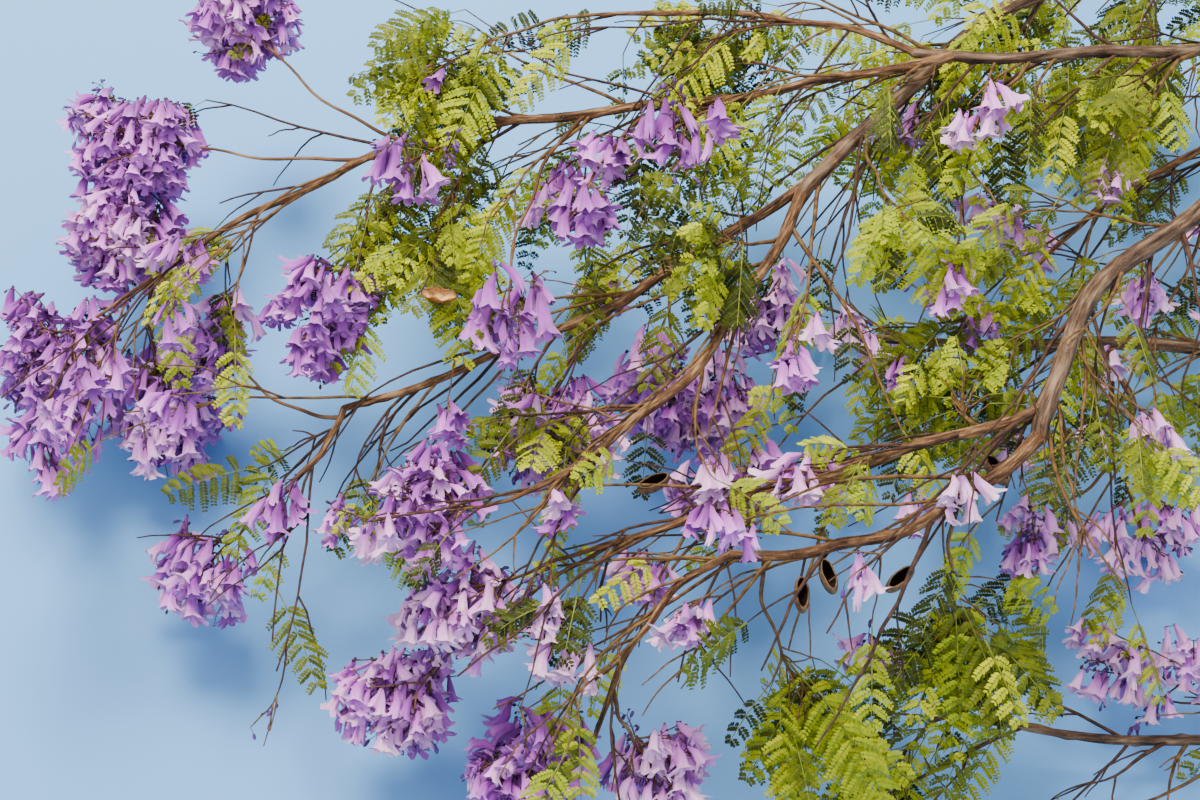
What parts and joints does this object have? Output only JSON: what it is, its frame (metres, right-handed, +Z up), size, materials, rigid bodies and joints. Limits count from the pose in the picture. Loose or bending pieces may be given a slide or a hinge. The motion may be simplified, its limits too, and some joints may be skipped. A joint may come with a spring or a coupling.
{
  "type": "cut flowering jacaranda limb",
  "caption": "Cut limb of a jacaranda tree lying on the ground: a thick sawn end, fanned boughs, masses of lilac bell blossom, ferny leaves and flat woody pods.",
  "frame": {"origin": "on the ground, under the middle of the part's bounding box", "axes": "+X from the blossom tips towards the thick cut end's side, +Y away from the viewer of the picture, +Z up"},
  "size_m": [3.2112, 1.7512, 0.6828],
  "materials": {
    "bark": "rough grey-brown bark, paler and tan where light falls on it",
    "blossom": "soft lilac petals, satin",
    "leaf": "thin yellow-green leaflets, satin",
    "pod": "dark dry seed pod with a tan rim"
  },
  "bodies": {
    "root": {"main_limb": "bark", "middle_bough": "bark", "upper_bough": "bark", "front_bough": "bark", "rear_bough": "bark", "ground_bough": "bark", "upper_bough_far": "bark", "long_bough_near": "bark", "long_bough_far": "bark", "middle_bough_low": "bark", "middle_bough_far": "bark", "middle_bough_end": "bark", "front_bough_low": "bark", "front_bough_end": "bark", "front_bough_far": "bark", "side_bough": "bark", "rear_bough_low": "bark", "pod_pair_left": "pod", "pod_pair_right": "pod", "pod_right": "pod", "pod_centre": "pod", "pod_front": "pod", "blossom_left_top": "blossom", "blossom_left_middle": "blossom", "blossom_left_outer": "blossom", "blossom_left_inner": "blossom", "blossom_top_left": "blossom", "blossom_behind_left": "blossom", "blossom_small_left": "blossom", "blossom_hanging_left": "blossom", "blossom_near_left": "blossom", "blossom_near_centre": "blossom", "blossom_near_middle": "blossom", "blossom_near_top": "blossom", "blossom_centre_left": "blossom", "blossom_centre": "blossom", "blossom_rear_tip": "blossom", "blossom_under_middle": "blossom", "blossom_under_centre": "blossom", "blossom_low_left": "blossom", "blossom_low_outer": "blossom", "blossom_bottom_left": "blossom", "blossom_bottom": "blossom", "blossom_rear_right": "blossom", "blossom_right": "blossom", "blossom_ground": "blossom", "blossom_top": "blossom", "leaves_top_left": "leaf", "leaves_left": "leaf", "leaves_top": "leaf", "leaves_centre": "leaf", "leaves_middle": "leaf", "leaves_side": "leaf", "leaves_top_right": "leaf", "leaves_front": "leaf", "leaves_low_right": "leaf", "leaves_low_middle": "leaf", "leaves_ground": "leaf", "leaves_low_centre": "leaf", "leaves_right": "leaf"}
  },
  "joints": []
}
